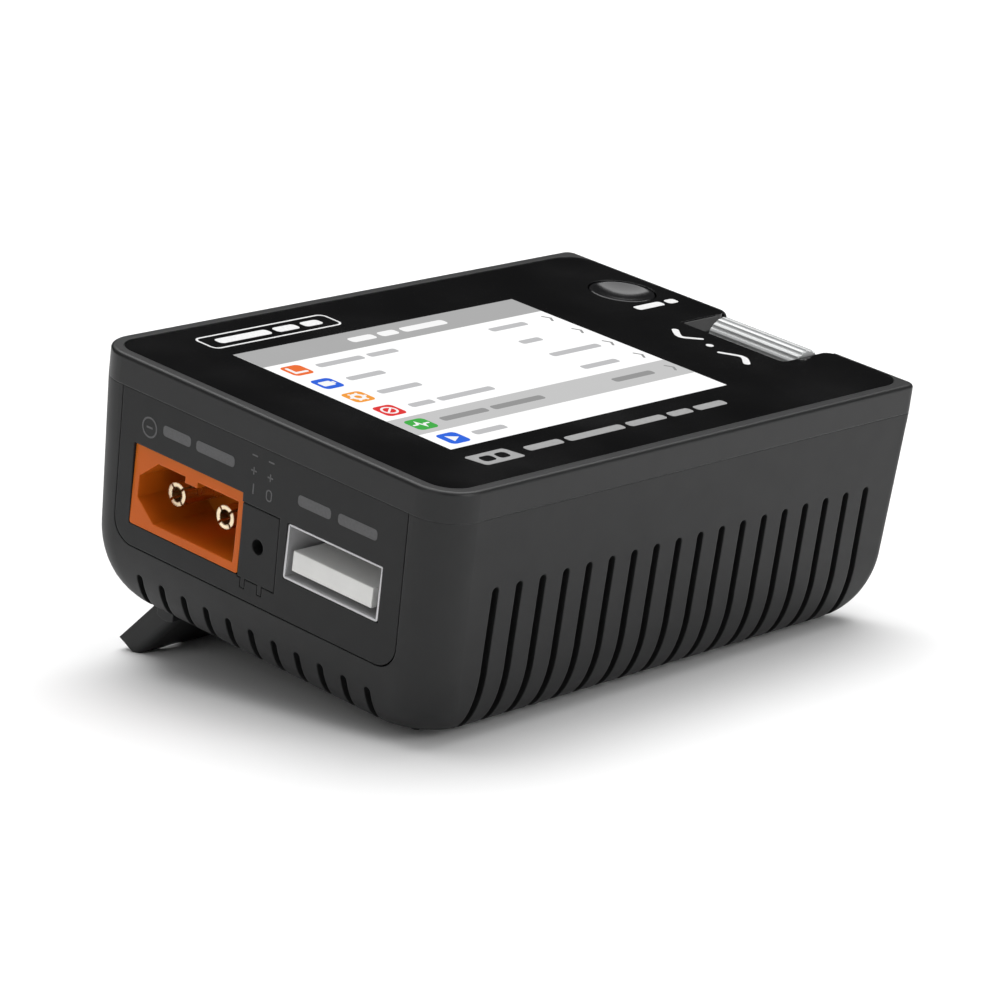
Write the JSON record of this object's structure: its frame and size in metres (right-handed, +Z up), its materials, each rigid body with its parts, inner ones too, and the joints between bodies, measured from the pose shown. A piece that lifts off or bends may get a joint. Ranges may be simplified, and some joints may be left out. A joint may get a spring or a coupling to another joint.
{
  "type": "balance battery charger",
  "caption": "Pocket balance charger for model batteries with a colour screen, fluted roller, round button, power, USB, signal and balance sockets, on an open kickstand.",
  "frame": {"origin": "middle of the base on the table, with the charger leaning back on its front feet and open kickstand", "axes": "+X from the power input end to the output end, +Y to the back, +Z up; the case is tilted 9.5 degrees about X"},
  "size_m": [0.072, 0.0548, 0.0347],
  "materials": {
    "case_plastic": "fine matte texture",
    "cover_gloss": "polished",
    "screen_glass": "clear, lit from behind",
    "button_plastic": "satin",
    "display_metal": "folded tray",
    "foam": "closed-cell foam",
    "board_laminate": "solder mask",
    "chip_epoxy": "moulded epoxy",
    "header_plastic": "moulded",
    "roller_metal": "satin, fluted",
    "steel": "plain",
    "carriage_plastic": "moulded",
    "inductor_ferrite": "pressed powder",
    "capacitor_can": "printed sleeve",
    "silicone": "soft pad",
    "heatsink_alloy": "extruded",
    "connector_orange": "moulded nylon",
    "contact_gold": "gold plate",
    "shell_tin": "tin plate",
    "tongue_white": "moulded",
    "socket_white": "moulded nylon",
    "fan_plastic": "moulded",
    "foot_rubber": "soft"
  },
  "bodies": {
    "case": {"lower_shell": "case_plastic", "upper_shell": "case_plastic", "top_plate": "cover_gloss", "display_glass": "screen_glass", "display_gasket": "foam", "display_module": "display_metal", "ui_board": "board_laminate", "controller_chip": "chip_epoxy", "board_header": "header_plastic", "board_socket": "header_plastic", "exit_switch": "header_plastic", "roller_switch": "header_plastic", "roller_base": "carriage_plastic", "main_board": "board_laminate", "inductors": "inductor_ferrite", "capacitors": "capacitor_can", "mosfets": "chip_epoxy", "thermal_pad": "silicone", "heatsink": "heatsink_alloy", "shunt_resistors": "chip_epoxy", "buzzer": "header_plastic", "input_panel": "case_plastic", "output_panel": "case_plastic", "power_input_housing": "connector_orange", "power_input_pins": "contact_gold", "power_output_housing": "connector_orange", "power_output_sockets": "contact_gold", "usb_shell": "shell_tin", "usb_tongue": "tongue_white", "usb_contacts": "contact_gold", "signal_header": "header_plastic", "signal_pins": "contact_gold", "balance_socket": "socket_white", "balance_pins": "contact_gold", "fan_frame": "fan_plastic", "stand_pins": "steel", "rubber_feet": "foot_rubber", "case_screws": "steel", "board_screws": "steel"},
    "kickstand": {"stand_leg": "case_plastic"},
    "roller": {"roller": "roller_metal"},
    "roller_carriage": {"roller_axle": "steel", "roller_carriage": "carriage_plastic"},
    "exit_button": {"exit_button": "button_plastic", "exit_plunger": "button_plastic"},
    "fan_rotor": {"fan_rotor": "fan_plastic"},
    "signal_plug": {"signal_plug": "header_plastic"}
  },
  "joints": [
    {"name": "kickstand_hinge", "type": "hinge", "parent": "case", "child": "kickstand", "pos_m": [0, 0.01639, 0.0082], "axis": [-1, 0, 0], "range_deg": [0, 132]},
    {"name": "roller_press", "type": "slide", "parent": "case", "child": "roller_carriage", "axis": [0, 0.165, -0.9863], "range_m": [0, 0.0003], "stiffness_N_per_m": 6000},
    {"name": "roller_turn", "type": "hinge", "parent": "roller_carriage", "child": "roller", "pos_m": [0.03245, -0.00884, 0.0278], "axis": [0, -0.9863, -0.165], "continuous": true},
    {"name": "exit_button_press", "type": "slide", "parent": "case", "child": "exit_button", "axis": [0, 0.165, -0.9863], "range_m": [0, 0.00025], "stiffness_N_per_m": 7000},
    {"name": "fan_spin", "type": "hinge", "parent": "case", "child": "fan_rotor", "pos_m": [0, 0.01972, 0.02072], "axis": [0, 0.9863, 0.165], "continuous": true},
    {"name": "signal_plug_slide", "type": "slide", "parent": "case", "child": "signal_plug", "axis": [-1, 0, 0], "range_m": [0, 0.0065]}
  ]
}
